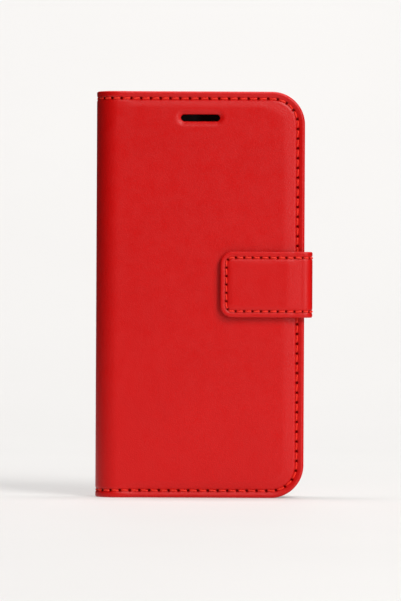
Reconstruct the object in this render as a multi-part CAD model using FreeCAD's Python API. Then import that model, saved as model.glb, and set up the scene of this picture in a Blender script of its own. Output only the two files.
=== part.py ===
"""Book-style phone wallet case with a rounded spine and a magnetic closing strap, standing upright and closed.

Row frame: +X towards the strap side, -Y towards the front, +Z up. Millimetres.
The origin is the centre of the bounding box's bottom face.

Two working coordinates make the layers easy to place:
  u  distance to the right of the spine's outermost line
  f  distance forwards of the back cover's outer face
"""

import math
import os

import FreeCAD
import Part

Vec = FreeCAD.Vector
OUT = "parts"

# ---- overall size ----
HEIGHT = 150.0
WIDTH = 77.0
CORNER_R = 12.2

# ---- layers of a cover, counted inwards from its outer face ----
SKIN = 0.8
FOAM = 0.4
BOARD = 0.9
LINING = 0.5
PANEL = SKIN + FOAM + BOARD + LINING
RIM_STEP = 0.4
BOARD_INSET = 4.2
BOARD_GAP = 1.6
LINING_BACK = 0.4

# ---- spine folds ----
SPINE_R = 8.0
FOLD_GAP = 0.18
PIVOT_PROUD = 0.18

# ---- stitching ----
SEAM_INSET = 2.65
GROOVE_HALF = 0.35
GROOVE_DEEP = 0.4
THREAD_R = 0.25
STITCH_PITCH = 3.6
STITCH_LONG = 2.5

# ---- phone and its tray ----
PHONE_W, PHONE_H, PHONE_T = 70.9, 143.6, 7.7
PHONE_CORNER_R = 10.0
PLAY = 0.1
TRAY_WALL = 1.2
TRAY_FLOOR = 1.0
TRAY_LIP = 0.7
LIP_OVER = 0.8
TRAY_BACK_R = 4.0
TRAY_FRONT_R = 0.9
CAVITY_BACK_R = 3.0
ADHESIVE = 0.2
TRAY_U0 = 2.2

# ---- inner pockets ----
POCKET_SHEET = 0.5
POCKET_AIR = 0.03
POCKET_CLEAR = 0.3
CARD_STEP = 14.0
CARD_MOUTH_Z = 84.0
CARD_COUNT = 3
MONEY_TOP = 132.0
POCKET_R = 7.0
POCKET_SEAM = 1.6
POCKET_GROOVE = 0.4
NOTCH_REACH = 9.0
NOTCH_DIP = 4.0

# ---- closing strap ----
STRAP_H = 24.3
STRAP_MID_Z = 78.75
STRAP_U0 = 45.9
STRAP_OVERHANG = 3.0
STRAP_SKIN = 0.8
STRAP_LINING = 0.6
STRAP_BOARD = 0.9
STRAP_CORNER_R = 4.5
STRAP_SEAM_INSET = 2.25
STRAP_BOARD_INSET = 3.9
STRAP_STEP = 0.3
STRAP_PITCH = 3.15
STRAP_STITCH = 2.2
TAB_GAP = 0.4
FRONT_BEND_R = 4.0
BACK_BEND_R = 2.4
TONGUE_T = 0.6
TONGUE_IN = 10.0
MAGNET_R = 6.0
MAGNET_U = 58.0

# ---- windows ----
SLOT_W, SLOT_H = 14.5, 2.7
SLOT_U, SLOT_Z = 38.4, 140.2
CAMERA_W, CAMERA_H = 12.0, 24.0
CAMERA_U, CAMERA_Z = 62.5, 128.5

# ---- openings in the tray's walls ----
CONTROLS_F = 8.2
PORT_W, PORT_DEEP = 44.0, 5.6
KEYS_DEEP = 5.0
SIDE_KEY_Z, SIDE_KEY_H = 106.0, 17.0
VOLUME_Z, VOLUME_H = 110.0, 40.0

# ---- derived ----
TRAY_T = TRAY_FLOOR + PHONE_T + PLAY + TRAY_LIP
TRAY_F0 = PANEL + ADHESIVE
TRAY_F1 = TRAY_F0 + TRAY_T
POCKETS = (CARD_COUNT + 1) * (POCKET_SHEET + POCKET_AIR)
DEPTH = TRAY_F1 + POCKET_CLEAR + POCKETS + PANEL
TAB = STRAP_SKIN + STRAP_BOARD + STRAP_LINING
BRIDGE = STRAP_SKIN + STRAP_LINING
STRAP_U1 = WIDTH + STRAP_OVERHANG
STRAP_F1 = DEPTH + TAB_GAP + TAB
X_SPINE = -STRAP_U1 / 2
Y_BACK = STRAP_F1 / 2
BOARD_U0 = SPINE_R + BOARD_GAP
STRAP_Z0 = STRAP_MID_Z - STRAP_H / 2
STRAP_Z1 = STRAP_MID_Z + STRAP_H / 2
POCKET_U0 = BOARD_U0 + 1.4
POCKET_U1 = WIDTH - BOARD_INSET - 0.6
POCKET_Z0 = BOARD_INSET + 0.8

# centres of the four folds, in (u, f)
BACK_FOLD = (SPINE_R, SPINE_R)
FRONT_FOLD = (SPINE_R, DEPTH - SPINE_R)
STRAP_BACK_FOLD = (STRAP_U1 - BACK_BEND_R, 0.6 + BACK_BEND_R)
STRAP_FRONT_FOLD = (STRAP_U1 - FRONT_BEND_R, STRAP_F1 - FRONT_BEND_R)
TAB_U1 = STRAP_FRONT_FOLD[0]
TAB_BOARD_U1 = TAB_U1 - 2.0


# ---------------------------------------------------------------- helpers

def at(u, f, z):
    """A point of the row frame from the working coordinates."""
    return Vec(X_SPINE + u, Y_BACK - f, z)


def polar(centre, radius, degrees):
    """(u, f) at an angle round a fold's centre: 0 points to +u and 90 to +f."""
    a = math.radians(degrees)
    return centre[0] + radius * math.cos(a), centre[1] + radius * math.sin(a)


def save(name, *solids):
    shape = solids[0] if len(solids) == 1 else Part.makeCompound(list(solids))
    shape.exportStep(os.path.join(OUT, name + ".step"))
    print(f"{name}: {len(shape.Solids)} solids, {shape.Volume:.1f} mm3, valid {shape.isValid()}")


def slab(points, f0, f1):
    """A plate between two depths. points are (u, z, corner radius) going round its outline."""
    n = len(points)
    corners = []
    for i, (u, z, r) in enumerate(points):
        here = Vec(u, z, 0)
        before = Vec(*points[i - 1][:2], 0)
        after = Vec(*points[(i + 1) % n][:2], 0)
        if r <= 0:
            corners.append((here, here, here))
            continue
        to_before = (before - here).normalize()
        to_after = (after - here).normalize()
        start, end = here + to_before * r, here + to_after * r
        middle = here + (to_before + to_after) * (r * (1 - math.sqrt(0.5)))
        corners.append((start, middle, end))
    edges = []
    for i, (start, middle, end) in enumerate(corners):
        a, m, b = (at(p.x, f0, p.y) for p in (start, middle, end))
        if (a - b).Length > 1e-6:
            edges.append(Part.Arc(a, m, b).toShape())
        nxt = corners[(i + 1) % n][0]
        c = at(nxt.x, f0, nxt.y)
        if (c - b).Length > 1e-6:
            edges.append(Part.LineSegment(b, c).toShape())
    return Part.Face(Part.Wire(edges)).extrude(Vec(0, f0 - f1, 0))


def block(u0, u1, f0, f1, z0, z1):
    low = at(u0, f1, z0)
    return Part.makeBox(u1 - u0, f1 - f0, z1 - z0, low)


def cover_outline(u0, inset):
    """A cover's outline drawn in from its edge: square on the spine side, round on the strap side."""
    r = CORNER_R - inset
    low, high, right = inset, HEIGHT - inset, WIDTH - inset
    return [(u0, low, 0), (right, low, r), (right, high, r), (u0, high, 0)]


def tab_outline(u1, inset):
    """The strap tab's outline drawn in from its edge: round at its free end."""
    r = max(STRAP_CORNER_R - inset, 0.6)
    low, high, left = STRAP_Z0 + inset, STRAP_Z1 - inset, STRAP_U0 + inset
    return [(left, low, r), (u1, low, 0), (u1, high, 0), (left, high, r)]


def rectangle(u_mid, z_mid, wide, high, r):
    u0, u1 = u_mid - wide / 2, u_mid + wide / 2
    z0, z1 = z_mid - high / 2, z_mid + high / 2
    return [(u0, z0, r), (u1, z0, r), (u1, z1, r), (u0, z1, r)]


def bend(centre, r_out, r_in, a0, a1, z0, z1):
    """A curved sheet: the ring sector between two radii and two angles of a fold, z0 to z1."""
    mid = (a0 + a1) / 2

    def p(radius, angle):
        return at(*polar(centre, radius, angle), z0)

    edges = [
        Part.Arc(p(r_out, a0), p(r_out, mid), p(r_out, a1)).toShape(),
        Part.LineSegment(p(r_out, a1), p(r_in, a1)).toShape(),
        Part.Arc(p(r_in, a1), p(r_in, mid), p(r_in, a0)).toShape(),
        Part.LineSegment(p(r_in, a0), p(r_out, a0)).toShape(),
    ]
    return Part.Face(Part.Wire(edges)).extrude(Vec(0, 0, z1 - z0))


def gap_angle(radius):
    """Half the slit at a fold's middle, as an angle in degrees."""
    return math.degrees(FOLD_GAP / radius)


def fuse(first, *others):
    return first.multiFuse(list(others)).removeSplitter()


# ---------------------------------------------------------------- stitching

def stitches(path, pitch, length, lead=1.2):
    """Thread stitches spaced evenly along a path, a list of close (u, f, z) points."""
    points = [at(*p) for p in path]
    run = [0.0]
    for a, b in zip(points, points[1:]):
        run.append(run[-1] + (b - a).Length)
    usable = run[-1] - 2 * lead
    count = max(1, int((usable - length) // pitch) + 1)
    first = (run[-1] - (count - 1) * pitch) / 2

    def place(s):
        i = max(k for k in range(len(run) - 1) if run[k] <= s + 1e-9)
        t = (s - run[i]) / max(run[i + 1] - run[i], 1e-9)
        return points[i] + (points[i + 1] - points[i]) * t

    made = []
    for k in range(count):
        s = first + k * pitch
        a, b = place(s - length / 2), place(s + length / 2)
        made.append(Part.makeCylinder(THREAD_R, (b - a).Length, a, b - a))
    return made


def arc_path(centre, radius, a0, a1, z, steps=24):
    """Points round a fold at one height."""
    return [(*polar(centre, radius, a0 + (a1 - a0) * k / steps), z) for k in range(steps + 1)]


def corner_path(u, z, r, a0, a1, f, steps=24):
    """Points round a corner of an outline, in the plane of a cover."""
    turns = [math.radians(a0 + (a1 - a0) * k / steps) for k in range(steps + 1)]
    return [(u + r * math.cos(t), f, z + r * math.sin(t)) for t in turns]


# ---------------------------------------------------------------- covers

class Side:
    """One cover: which way its layers face, and the angles of the half fold that belongs to it."""

    def __init__(self, name, centre, flat_angle, mid_angle, inwards):
        self.name = name
        self.centre = centre
        self.flat_angle = flat_angle
        self.mid_angle = mid_angle
        self.inwards = inwards
        self.outer = centre[1] - inwards * SPINE_R

    def depth(self, w):
        """f of a layer w below the cover's outer face."""
        return self.outer + self.inwards * w

    def plate(self, outline, w0, w1):
        low, high = sorted((self.depth(w0), self.depth(w1)))
        return slab(outline, low, high)

    def strip(self, u0, u1, w0, w1, z0=0.0, z1=HEIGHT):
        low, high = sorted((self.depth(w0), self.depth(w1)))
        return block(u0, u1, low, high, z0, z1)

    def half_fold(self, w0, w1, z0=0.0, z1=HEIGHT):
        """The stretch of fold between the flat cover and the fold's middle."""
        slit = gap_angle(SPINE_R)
        towards = 1 if self.mid_angle > self.flat_angle else -1
        return bend(self.centre, SPINE_R - w0, SPINE_R - w1,
                    self.flat_angle, self.mid_angle - towards * slit, z0, z1)


BACK = Side("back", BACK_FOLD, 270.0, 225.0, 1)
FRONT = Side("front", FRONT_FOLD, 90.0, 135.0, -1)


def seam_grooves(side):
    """The shallow groove that the thread lies in, on a cover's outer face and half fold."""
    low, high = SEAM_INSET - GROOVE_HALF, SEAM_INSET + GROOVE_HALF
    ring = side.plate(cover_outline(SPINE_R, low), RIM_STEP, RIM_STEP + GROOVE_DEEP)
    ring = ring.cut(side.plate(cover_outline(SPINE_R - 1, high), 0, SKIN + 1))
    folds = [side.half_fold(0, GROOVE_DEEP, z, z + high - low)
             for z in (low, HEIGHT - high)]
    return ring, folds


def cover_skin(side):
    margin_u1 = BOARD_U0 - LINING
    rim = side.plate(cover_outline(SPINE_R, 0), RIM_STEP, SKIN + RIM_STEP)
    crown = side.plate(cover_outline(SPINE_R, BOARD_INSET - SKIN), 0, SKIN + RIM_STEP)
    skin = fuse(rim, crown, side.half_fold(0, SKIN))
    skin = skin.cut(side.plate(cover_outline(BOARD_U0, BOARD_INSET), SKIN, SKIN + 1))
    skin = skin.cut(side.strip(SPINE_R, margin_u1, SKIN, SKIN + 1, LINING_BACK, HEIGHT - LINING_BACK))
    ring, folds = seam_grooves(side)
    return skin.cut(ring).cut(folds[0]).cut(folds[1])


def cover_lining(side):
    low, high, deep = LINING_BACK, HEIGHT - LINING_BACK, SKIN + RIM_STEP
    rim = side.plate(cover_outline(BOARD_U0 - LINING, LINING_BACK), deep, deep + LINING)
    crown = side.plate(cover_outline(BOARD_U0 - LINING, BOARD_INSET - LINING), deep, PANEL)
    margin = side.strip(SPINE_R, BOARD_U0 - LINING, SKIN, deep + LINING, low, high)
    lining = fuse(rim, crown, margin, side.half_fold(SKIN, SKIN + LINING, low, high))
    return lining.cut(side.plate(cover_outline(BOARD_U0, BOARD_INSET), SKIN, PANEL - LINING))


def cover_foam(side):
    return side.plate(cover_outline(BOARD_U0, BOARD_INSET), SKIN, SKIN + FOAM)


def cover_board(side):
    return side.plate(cover_outline(BOARD_U0, BOARD_INSET), SKIN + FOAM, PANEL - LINING)


def cover_seam(side):
    """The stitches round a cover: along the top, down the strap side, and back along the bottom."""
    inset, r = SEAM_INSET, CORNER_R - SEAM_INSET
    f = side.depth(RIM_STEP + GROOVE_DEEP - THREAD_R)
    fold_r = SPINE_R - GROOVE_DEEP + THREAD_R
    right, top = WIDTH - inset, HEIGHT - inset
    corner_u = right - r
    path = [(SPINE_R, f, top)]
    path += corner_path(corner_u, top - r, r, 90, 0, f)
    path += corner_path(corner_u, inset + r, r, 0, -90, f)
    path.append((SPINE_R, f, inset))
    made = stitches(path, STITCH_PITCH, STITCH_LONG, lead=0.6)
    for z in (inset, top):
        arc = arc_path(side.centre, fold_r, side.flat_angle, side.mid_angle, z)
        made += stitches(arc, STITCH_PITCH, STITCH_LONG, lead=1.5)
    return made


def card_window(f0, f1):
    return slab(rectangle(SLOT_U, SLOT_Z, SLOT_W, SLOT_H, SLOT_H / 2 - 0.05), f0, f1)


def camera_window(f0, f1, grow=0.0):
    wide, high = CAMERA_W + 2 * grow, CAMERA_H + 2 * grow
    return slab(rectangle(CAMERA_U, CAMERA_Z, wide, high, wide / 2 - 0.05), f0, f1)


def strap_tongue():
    """The strap's root, held between the back cover's layers, and the first half of its bend."""
    u0 = WIDTH - TONGUE_IN
    low, high = SKIN, SKIN + TONGUE_T
    inside = block(u0, WIDTH, low, high, STRAP_Z0, STRAP_Z1)
    cu, cf = STRAP_BACK_FOLD
    outer = cf - BACK_BEND_R
    lead = block(WIDTH, cu, outer, outer + BRIDGE, STRAP_Z0, STRAP_Z1)
    half = bend(STRAP_BACK_FOLD, BACK_BEND_R, BACK_BEND_R - BRIDGE,
                270, 315 - gap_angle(BACK_BEND_R), STRAP_Z0, STRAP_Z1)
    return inside, fuse(inside, lead, half)


# ---------------------------------------------------------------- phone tray

TRAY_W = PHONE_W + 2 * (PLAY + TRAY_WALL)
TRAY_H = PHONE_H + 2 * (PLAY + TRAY_WALL)
TRAY_U1 = TRAY_U0 + TRAY_W
TRAY_MID = TRAY_U0 + TRAY_W / 2
TRAY_Z0 = (HEIGHT - TRAY_H) / 2
TRAY_Z1 = (HEIGHT + TRAY_H) / 2
TRAY_R = PHONE_CORNER_R + PLAY + TRAY_WALL
FLOOR_F = TRAY_F0 + TRAY_FLOOR


def tray_outline(inset):
    return rectangle(TRAY_MID, HEIGHT / 2, TRAY_W - 2 * inset, TRAY_H - 2 * inset, TRAY_R - inset)


def whole_tray():
    """A shallow flexible shell: floor, walls with a retaining lip, and windows for the phone's controls."""
    lip_f = TRAY_F1 - TRAY_LIP
    body = slab(tray_outline(0), TRAY_F0, TRAY_F1)
    body = round_outline(body, TRAY_F0, TRAY_BACK_R)
    body = round_outline(body, TRAY_F1, TRAY_FRONT_R)
    room = round_outline(slab(tray_outline(TRAY_WALL), FLOOR_F, lip_f), FLOOR_F, CAVITY_BACK_R)
    mouth = slab(tray_outline(TRAY_WALL + LIP_OVER), lip_f - 1, TRAY_F1 + 1)
    tray = body.cut(room).cut(mouth).cut(camera_window(TRAY_F0 - 1, FLOOR_F + 1))
    port = pill_along_z(TRAY_MID, CONTROLS_F, PORT_W, PORT_DEEP, TRAY_Z0 - 1, TRAY_Z0 + TRAY_WALL + 1)
    side_key = pill_along_u(SIDE_KEY_Z, CONTROLS_F, SIDE_KEY_H, KEYS_DEEP, TRAY_U1 - 3, TRAY_U1 + 1)
    volume = pill_along_u(VOLUME_Z, CONTROLS_F, VOLUME_H, KEYS_DEEP, TRAY_U0 - 1, TRAY_U0 + 3)
    return tray.cut(port).cut(side_key).cut(volume)


def tray_parts():
    """The tray's floor and four walls; the foot and head walls each carry their two corners."""
    tray = whole_tray()
    floor_tool = slab(tray_outline(TRAY_BACK_R + 0.2), TRAY_F0 - 1, FLOOR_F + 0.01)
    rim = tray.cut(floor_tool)

    def zone(u0, u1, z0, z1):
        return rim.common(block(u0, u1, TRAY_F0 - 1, TRAY_F1 + 1, z0, z1))

    left, right = TRAY_U0 + TRAY_R, TRAY_U1 - TRAY_R
    low, high = TRAY_Z0 + TRAY_R, TRAY_Z1 - TRAY_R
    return {
        "tray_floor": [tray.common(floor_tool)],
        "tray_wall_left": [zone(0, left, low, high)],
        "tray_wall_right": [zone(right, WIDTH, low, high)],
        "tray_wall_foot": [zone(a, b, 0, low) for a, b in ((0, left), (left, right), (right, WIDTH))],
        "tray_wall_head": [zone(a, b, high, HEIGHT) for a, b in ((0, left), (left, right), (right, WIDTH))],
    }


def round_outline(solid, f, radius):
    """Rounds every edge of a plate's outline at one depth."""
    y = Y_BACK - f
    ring = [e for e in solid.Edges
            if abs(e.BoundBox.YMin - y) < 1e-4 and abs(e.BoundBox.YMax - y) < 1e-4]
    return solid.makeFillet(radius, ring)


def pill_along_z(u_mid, f_mid, wide, deep, z0, z1):
    """A cutter with rounded ends that runs along Z."""
    tool = block(u_mid - wide / 2, u_mid + wide / 2, f_mid - deep / 2, f_mid + deep / 2, z0, z1)
    edges = [e for e in tool.Edges if abs(e.BoundBox.ZLength - (z1 - z0)) < 1e-4]
    return tool.makeFillet(deep / 2 - 0.05, edges)


def pill_along_u(z_mid, f_mid, high, deep, u0, u1):
    """A cutter with rounded ends that runs along X."""
    tool = block(u0, u1, f_mid - deep / 2, f_mid + deep / 2, z_mid - high / 2, z_mid + high / 2)
    edges = [e for e in tool.Edges if abs(e.BoundBox.XLength - (u1 - u0)) < 1e-4]
    return tool.makeFillet(deep / 2 - 0.05, edges)


def tray_adhesive():
    sheet = slab(tray_outline(TRAY_BACK_R + 1.5), PANEL, TRAY_F0)
    trim = block(0, BOARD_U0 + 0.2, PANEL - 1, TRAY_F0 + 1, 0, HEIGHT)
    return sheet.cut(trim).cut(camera_window(PANEL - 1, TRAY_F0 + 1, grow=1.0))


# ---------------------------------------------------------------- inner pockets

def pocket_outline(z_top, inset=0.0):
    u0, u1, low = POCKET_U0 + inset, POCKET_U1 - inset, POCKET_Z0 + inset
    return [(u0, low, 0.5), (u1, low, POCKET_R - inset), (u1, z_top, 0.5), (u0, z_top, 0.5)]


def pocket_sheet(level, z_top, notch):
    """One pocket leaf, sewn down both sides and along its foot. A thumb notch dips into its mouth."""
    w0 = PANEL + level * (POCKET_SHEET + POCKET_AIR) + POCKET_AIR
    leaf = FRONT.plate(pocket_outline(z_top), w0, w0 + POCKET_SHEET)
    if not notch:
        return leaf
    mid = (POCKET_U0 + POCKET_U1) / 2
    radius = (NOTCH_REACH ** 2 + NOTCH_DIP ** 2) / (2 * NOTCH_DIP)
    f = FRONT.depth(w0 - 1)
    tool = Part.makeCylinder(radius, POCKET_SHEET + 2, at(mid, f, z_top + radius - NOTCH_DIP), Vec(0, 1, 0))
    return leaf.cut(tool)


def pocket_tops():
    return [CARD_MOUTH_Z + (CARD_COUNT - 1 - k) * CARD_STEP for k in range(CARD_COUNT)]


def pocket_groove():
    """The groove for the pocket thread in the topmost leaf."""
    deep = PANEL + POCKETS - POCKET_GROOVE
    open_top = pocket_tops()[-1] + 5
    ring = FRONT.plate(pocket_outline(open_top, POCKET_SEAM - GROOVE_HALF), deep, PANEL + POCKETS + 1)
    inner = FRONT.plate(pocket_outline(open_top + 1, POCKET_SEAM + GROOVE_HALF), deep - 1, PANEL + POCKETS + 2)
    return ring.cut(inner)


def pocket_seam():
    """Stitches that close the pockets: down the spine side, along the foot, up the strap side."""
    f = FRONT.depth(PANEL + POCKETS - POCKET_GROOVE + THREAD_R)
    left, right, low = POCKET_U0 + POCKET_SEAM, POCKET_U1 - POCKET_SEAM, POCKET_Z0 + POCKET_SEAM
    r = POCKET_R - POCKET_SEAM
    top = pocket_tops()[-1] - 2
    path = [(left, f, top), (left, f, low)]
    path += corner_path(right - r, low + r, r, -90, 0, f)
    path.append((right, f, top))
    return stitches(path, STITCH_PITCH, STITCH_LONG)


# ---------------------------------------------------------------- spine

def spine_sheet(w0, w1, inset=0.0):
    slit = gap_angle(SPINE_R)
    low, high = inset, HEIGHT - inset
    flat = block(w0, w1, BACK_FOLD[1], FRONT_FOLD[1], low, high)
    back = bend(BACK_FOLD, SPINE_R - w0, SPINE_R - w1, 180, 225 - slit, low, high)
    front = bend(FRONT_FOLD, SPINE_R - w0, SPINE_R - w1, 135 + slit, 180, low, high)
    return fuse(flat, back, front)


def spine_grooves():
    low, high = SEAM_INSET - GROOVE_HALF, SEAM_INSET + GROOVE_HALF
    cuts = []
    for z in (low, HEIGHT - high):
        tall = high - low
        cuts.append(block(0, GROOVE_DEEP, BACK_FOLD[1], FRONT_FOLD[1], z, z + tall))
        cuts.append(bend(BACK_FOLD, SPINE_R, SPINE_R - GROOVE_DEEP, 180, 230, z, z + tall))
        cuts.append(bend(FRONT_FOLD, SPINE_R, SPINE_R - GROOVE_DEEP, 130, 180, z, z + tall))
    return cuts


def spine_seam():
    r = SPINE_R - GROOVE_DEEP + THREAD_R
    made = []
    for z in (SEAM_INSET, HEIGHT - SEAM_INSET):
        path = arc_path(BACK_FOLD, r, 225, 180, z) + arc_path(FRONT_FOLD, r, 180, 135, z)
        made += stitches(path, STITCH_PITCH, STITCH_LONG, lead=1.4)
    return made


# ---------------------------------------------------------------- strap

def tab_plate(outline, w0, w1):
    return slab(outline, STRAP_F1 - w1, STRAP_F1 - w0)


def tab_bend(w0, w1):
    r = FRONT_BEND_R
    return bend(STRAP_FRONT_FOLD, r - w0, r - w1, 45 + gap_angle(r), 90, STRAP_Z0, STRAP_Z1)


def tab_skin():
    deep = STRAP_SKIN + STRAP_STEP
    rim = tab_plate(tab_outline(TAB_U1, 0), STRAP_STEP, deep)
    crown = tab_plate(tab_outline(TAB_U1, STRAP_BOARD_INSET - STRAP_SKIN), 0, deep)
    skin = fuse(rim, crown, tab_bend(0, STRAP_SKIN))
    skin = skin.cut(tab_plate(tab_outline(TAB_BOARD_U1, STRAP_BOARD_INSET), STRAP_SKIN, deep + 1))
    low, high = STRAP_SEAM_INSET - GROOVE_HALF, STRAP_SEAM_INSET + GROOVE_HALF
    ring = tab_plate(tab_outline(TAB_U1, low), STRAP_STEP, STRAP_STEP + GROOVE_DEEP)
    ring = ring.cut(tab_plate(tab_outline(TAB_U1 + 1, high), 0, deep))
    return skin.cut(ring)


def tab_board():
    board = tab_plate(tab_outline(TAB_BOARD_U1, STRAP_BOARD_INSET), STRAP_SKIN, STRAP_SKIN + STRAP_BOARD)
    return board.cut(magnet_disc(MAGNET_R, STRAP_F1 - STRAP_SKIN - STRAP_BOARD, STRAP_BOARD))


def tab_lining():
    deep = STRAP_SKIN + STRAP_STEP
    rim = tab_plate(tab_outline(TAB_U1, 0.3), deep, deep + 0.4)
    crown = tab_plate(tab_outline(TAB_BOARD_U1 + STRAP_LINING, STRAP_BOARD_INSET - STRAP_LINING), deep, TAB)
    pocket = tab_plate(tab_outline(TAB_BOARD_U1, STRAP_BOARD_INSET), STRAP_SKIN, STRAP_SKIN + STRAP_BOARD)
    return fuse(rim, crown, tab_bend(STRAP_SKIN, BRIDGE)).cut(pocket)


def magnet_disc(radius, f0, thick):
    return Part.makeCylinder(radius, thick, at(MAGNET_U, f0, STRAP_MID_Z), Vec(0, -1, 0))


def tab_seam():
    """Stitches round the tab: along the top, down its free end, and back along the bottom."""
    inset = STRAP_SEAM_INSET
    r = STRAP_CORNER_R - inset
    f = STRAP_F1 - STRAP_STEP - GROOVE_DEEP + THREAD_R
    left, low, high = STRAP_U0 + inset, STRAP_Z0 + inset, STRAP_Z1 - inset
    path = [(TAB_U1 - 0.3, f, high), (left + r, f, high)]
    path += corner_path(left + r, high - r, r, 90, 180, f)
    path += corner_path(left + r, low + r, r, 180, 270, f)
    path.append((TAB_U1 - 0.3, f, low))
    return stitches(path, STRAP_PITCH, STRAP_STITCH, lead=0.2)


def side_sheet(w0, w1):
    """The strap's side wall with the half bend at each end."""
    (back_u, back_f), (front_u, front_f) = STRAP_BACK_FOLD, STRAP_FRONT_FOLD
    wall = block(STRAP_U1 - w1, STRAP_U1 - w0, back_f, front_f, STRAP_Z0, STRAP_Z1)
    rb, rf = BACK_BEND_R, FRONT_BEND_R
    back = bend(STRAP_BACK_FOLD, rb - w0, rb - w1, 315 + gap_angle(rb), 360, STRAP_Z0, STRAP_Z1)
    front = bend(STRAP_FRONT_FOLD, rf - w0, rf - w1, 0, 45 - gap_angle(rf), STRAP_Z0, STRAP_Z1)
    return fuse(wall, back, front)


def side_grooves():
    cuts = []
    for z in (STRAP_Z0 + STRAP_SEAM_INSET, STRAP_Z1 - STRAP_SEAM_INSET):
        cuts.append(block(STRAP_U1 - GROOVE_DEEP, STRAP_U1, STRAP_BACK_FOLD[1], STRAP_FRONT_FOLD[1],
                          z - GROOVE_HALF, z + GROOVE_HALF))
    return cuts


def side_seam():
    made = []
    u = STRAP_U1 - GROOVE_DEEP + THREAD_R
    for z in (STRAP_Z0 + STRAP_SEAM_INSET, STRAP_Z1 - STRAP_SEAM_INSET):
        path = [(u, STRAP_BACK_FOLD[1], z), (u, STRAP_FRONT_FOLD[1], z)]
        made += stitches(path, STRAP_PITCH, STRAP_STITCH, lead=0.2)
    return made


# ---------------------------------------------------------------- assembly

def build_back_cover():
    tongue, anchor = strap_tongue()
    through = camera_window(-1, TRAY_F0)
    save("back_skin", cover_skin(BACK).cut(through).cut(tongue))
    save("back_foam", cover_foam(BACK).cut(through).cut(tongue))
    save("back_board", cover_board(BACK).cut(through).cut(tongue))
    save("back_lining", cover_lining(BACK).cut(through).cut(tongue))
    save("back_stitches", *cover_seam(BACK))
    save("strap_anchor", anchor)
    save("tray_adhesive", tray_adhesive())
    for name, solids in tray_parts().items():
        save(name, *solids)


def build_spine():
    skin = spine_sheet(0, SKIN)
    for groove in spine_grooves():
        skin = skin.cut(groove)
    save("spine_skin", skin)
    save("spine_lining", spine_sheet(SKIN, SKIN + LINING, inset=LINING_BACK))
    save("spine_stitches", *spine_seam())


def build_front_cover():
    slot = card_window(DEPTH - PANEL - 1, DEPTH + 1)
    catch = magnet_disc(MAGNET_R + 1, DEPTH - SKIN - FOAM - BOARD, BOARD)
    save("front_skin", cover_skin(FRONT).cut(slot))
    save("front_foam", cover_foam(FRONT).cut(slot))
    save("front_board", cover_board(FRONT).cut(slot).cut(catch))
    save("front_lining", cover_lining(FRONT).cut(slot))
    save("catch_plate", catch)
    save("front_stitches", *cover_seam(FRONT))
    save("money_pocket", pocket_sheet(0, MONEY_TOP, notch=False))
    leaves = [pocket_sheet(k + 1, top, notch=True) for k, top in enumerate(pocket_tops())]
    leaves[-1] = leaves[-1].cut(pocket_groove())
    for k, leaf in enumerate(leaves):
        save(f"card_pocket_{k + 1}", leaf)
    save("pocket_stitches", *pocket_seam())


def build_strap():
    side = side_sheet(0, STRAP_SKIN)
    for groove in side_grooves():
        side = side.cut(groove)
    save("strap_side_skin", side)
    save("strap_side_lining", side_sheet(STRAP_SKIN, BRIDGE))
    save("strap_side_stitches", *side_seam())
    save("strap_tab_skin", tab_skin())
    save("strap_tab_board", tab_board())
    save("strap_tab_lining", tab_lining())
    save("strap_magnet", magnet_disc(MAGNET_R - 0.1, STRAP_F1 - STRAP_SKIN - STRAP_BOARD, STRAP_BOARD))
    save("strap_tab_stitches", *tab_seam())


def joint_axis(centre, radius, degrees):
    """Where a fold's hinge line stands, just outside the sheet at the fold's middle, in metres."""
    p = at(*polar(centre, radius + PIVOT_PROUD, degrees), 0)
    return round(p.x / 1000, 6), round(p.y / 1000, 6)


def main():
    os.makedirs(OUT, exist_ok=True)
    build_back_cover()
    build_spine()
    build_front_cover()
    build_strap()
    print("depth", DEPTH, "strap front", STRAP_F1, "x spine", X_SPINE, "y back", Y_BACK)
    print("spine_fold", joint_axis(BACK_FOLD, SPINE_R, 225))
    print("cover_fold", joint_axis(FRONT_FOLD, SPINE_R, 135))
    print("strap_fold", joint_axis(STRAP_BACK_FOLD, BACK_BEND_R, 315))
    print("tab_fold", joint_axis(STRAP_FRONT_FOLD, FRONT_BEND_R, 45))


main()
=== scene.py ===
import math
import random

import bmesh
import bpy
import numpy as np
from mathutils import Euler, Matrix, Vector


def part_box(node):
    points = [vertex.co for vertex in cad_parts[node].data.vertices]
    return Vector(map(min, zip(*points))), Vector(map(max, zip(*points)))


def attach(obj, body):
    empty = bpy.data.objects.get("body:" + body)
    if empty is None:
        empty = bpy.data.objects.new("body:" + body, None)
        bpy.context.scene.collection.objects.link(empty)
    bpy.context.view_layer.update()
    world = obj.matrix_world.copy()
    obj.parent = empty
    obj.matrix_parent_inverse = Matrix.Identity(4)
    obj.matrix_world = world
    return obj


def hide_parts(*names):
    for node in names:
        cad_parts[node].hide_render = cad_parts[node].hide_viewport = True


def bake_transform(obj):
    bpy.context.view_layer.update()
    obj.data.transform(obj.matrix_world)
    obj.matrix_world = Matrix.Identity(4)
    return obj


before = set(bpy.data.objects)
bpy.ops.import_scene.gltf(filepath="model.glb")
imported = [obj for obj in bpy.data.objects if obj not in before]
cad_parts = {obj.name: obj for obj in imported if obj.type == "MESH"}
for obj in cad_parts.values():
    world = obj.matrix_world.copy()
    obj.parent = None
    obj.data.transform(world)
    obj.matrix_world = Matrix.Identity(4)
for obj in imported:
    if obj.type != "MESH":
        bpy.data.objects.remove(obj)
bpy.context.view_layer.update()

MM = 0.001
QUARTER = math.pi / 2

# ------------------------------------------------------------------ sizes taken from the frame, in mm

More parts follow.
